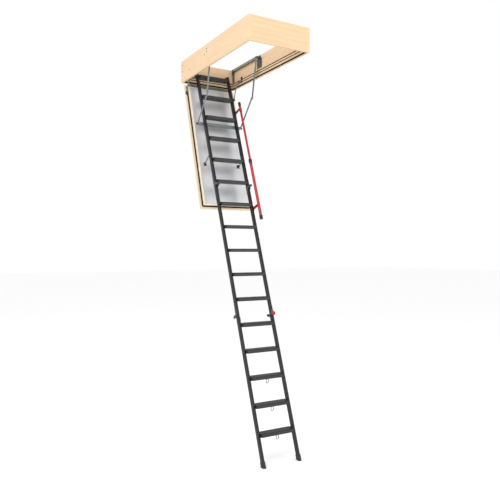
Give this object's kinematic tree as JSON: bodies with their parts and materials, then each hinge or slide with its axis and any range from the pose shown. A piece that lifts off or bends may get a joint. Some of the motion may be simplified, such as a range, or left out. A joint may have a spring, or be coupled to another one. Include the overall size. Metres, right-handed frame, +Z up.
{
  "type": "attic ladder",
  "caption": "Folding attic ladder in a timber ceiling casing, with an insulated hatch, hinged metal sections, guide arms and a telescopic handrail.",
  "frame": {"origin": "middle of the casing's hinge end, at its outer face and the ceiling line", "axes": "+X along the casing towards its front end, +Y across towards the handrail side, +Z up"},
  "size_m": [1.416, 0.603, 3.6622],
  "materials": {
    "casing_wood": "satin",
    "hatch_wood": "satin",
    "seal_rubber": "matte",
    "core_foam": "matte",
    "sheet_metal": "satin",
    "dark_steel": "satin",
    "zinc_steel": "satin",
    "black_steel": "matte",
    "ladder_coat": "satin",
    "black_plastic": "matte",
    "red_coat": "gloss",
    "red_plastic": "satin"
  },
  "bodies": {
    "casing": {"casing_left_board": "casing_wood", "casing_right_board": "casing_wood", "casing_hinge_board": "casing_wood", "casing_front_board": "casing_wood", "lower_seal": "seal_rubber", "middle_seal": "seal_rubber", "upper_seal": "seal_rubber", "casing_screws": "dark_steel", "left_pivot_plate": "dark_steel", "right_pivot_plate": "dark_steel", "spring_brackets": "dark_steel", "left_spring_rail": "zinc_steel", "right_spring_rail": "zinc_steel", "springs": "dark_steel", "stay_posts": "black_steel", "ladder_brackets": "dark_steel", "hinge_casing_leaf": "zinc_steel", "hatch_hinge_pins": "zinc_steel"},
    "hatch": {"hatch_board": "hatch_wood", "hatch_seal": "seal_rubber", "hatch_frame": "casing_wood", "hatch_insulation": "core_foam", "hatch_sheet": "sheet_metal", "hatch_hinge_straps": "zinc_steel", "hatch_hinge_rail": "zinc_steel", "stay_feet": "dark_steel", "strut_feet": "dark_steel"},
    "stays": {"hatch_stays": "black_steel"},
    "struts": {"hatch_struts": "dark_steel"},
    "upper_arms": {"left_upper_arm": "dark_steel", "right_upper_arm": "dark_steel"},
    "lower_arms": {"left_lower_arm": "dark_steel", "right_lower_arm": "dark_steel", "arm_knobs": "black_plastic"},
    "upper_section": {"upper_left_stile": "ladder_coat", "upper_right_stile": "ladder_coat", "upper_treads": "ladder_coat", "upper_tread_brackets": "black_plastic", "crossbar": "zinc_steel", "upper_hinge_plates": "dark_steel", "handrail_top_bracket": "red_coat"},
    "lever": {"joint_lever": "black_steel"},
    "middle_section": {"middle_left_stile": "ladder_coat", "middle_right_stile": "ladder_coat", "middle_treads": "ladder_coat", "middle_tread_brackets": "black_plastic", "middle_hinge_plates": "dark_steel", "handrail_low_bracket": "red_coat"},
    "knob": {"lock_knob": "red_plastic"},
    "lower_section": {"lower_left_stile": "ladder_coat", "lower_right_stile": "ladder_coat", "lower_treads": "ladder_coat", "lower_tread_brackets": "black_plastic", "lower_hinge_plates": "black_steel", "feet": "black_plastic", "wire_loops": "zinc_steel"},
    "rail_lower": {"handrail_lower_tube": "red_coat", "handrail_collars": "black_plastic"},
    "rail_upper": {"handrail_upper_tube": "red_coat", "handrail_top_cap": "black_plastic"}
  },
  "joints": [
    {"name": "hatch_hinge", "type": "hinge", "parent": "casing", "child": "hatch", "pos_m": [0.001, 0, -0.008], "axis": [0, -1, 0], "range_deg": [0, 62.5]},
    {"name": "ladder_pivot", "type": "hinge", "parent": "casing", "child": "upper_section", "pos_m": [0.07447, 0, 0.08909], "axis": [0, -1, 0], "range_deg": [0, 60.1]},
    {"name": "upper_arm_pivot", "type": "hinge", "parent": "casing", "child": "upper_arms", "pos_m": [0.57, 0, 0.187], "axis": [0, -1, 0], "range_deg": [0, 91.48]},
    {"name": "elbow", "type": "hinge", "parent": "upper_arms", "child": "lower_arms", "pos_m": [0.49207, 0, -0.19513], "axis": [0, -1, 0], "range_deg": [-116.86, 0]},
    {"name": "stay_pivot", "type": "hinge", "parent": "hatch", "child": "stays", "pos_m": [0.07317, 0, -0.10724], "axis": [0, -1, 0], "range_deg": [-98.74, 0]},
    {"name": "strut_pivot", "type": "hinge", "parent": "hatch", "child": "struts", "pos_m": [0.32571, 0, -0.84776], "axis": [0, -1, 0], "range_deg": [-69.15, 0]},
    {"name": "middle_fold", "type": "hinge", "parent": "upper_section", "child": "middle_section", "pos_m": [0.56897, 0, -1.06115], "axis": [0, -1, 0], "range_deg": [0, 180]},
    {"name": "lower_fold", "type": "hinge", "parent": "middle_section", "child": "lower_section", "pos_m": [0.91687, 0, -2.28177], "axis": [0, -1, 0], "range_deg": [-180.05, 0]},
    {"name": "rail_pivot", "type": "hinge", "parent": "middle_section", "child": "rail_lower", "pos_m": [0.68274, 0, -1.26343], "axis": [0, -1, 0], "range_deg": [-187.32, 0]},
    {"name": "rail_slide", "type": "slide", "parent": "rail_lower", "child": "rail_upper", "axis": [0.342, 0, -0.9397], "range_m": [0, 0.4533]},
    {"name": "lever_pivot", "type": "hinge", "parent": "upper_section", "child": "lever", "pos_m": [0.51274, 0, -1.03904], "axis": [0, -1, 0], "range_deg": [0, 20]},
    {"name": "knob_spin", "type": "hinge", "parent": "middle_section", "child": "knob", "pos_m": [0.97915, 0.172, -2.2591], "axis": [0.9397, 0, 0.342], "range_deg": [0, 180]}
  ],
  "couplings": [
    {"joint": "ladder_pivot", "follows": "hatch_hinge", "ratio": 0.96},
    {"joint": "upper_arm_pivot", "follows": "hatch_hinge", "ratio": 1.4629},
    {"joint": "elbow", "follows": "hatch_hinge", "ratio": -1.869},
    {"joint": "stay_pivot", "follows": "hatch_hinge", "ratio": -1.5791},
    {"joint": "strut_pivot", "follows": "hatch_hinge", "ratio": -1.1056},
    {"joint": "lower_fold", "follows": "middle_fold", "ratio": -1},
    {"joint": "rail_pivot", "follows": "middle_fold", "ratio": -1.0404},
    {"joint": "rail_slide", "follows": "middle_fold", "m_per_rad": 0.14426}
  ]
}
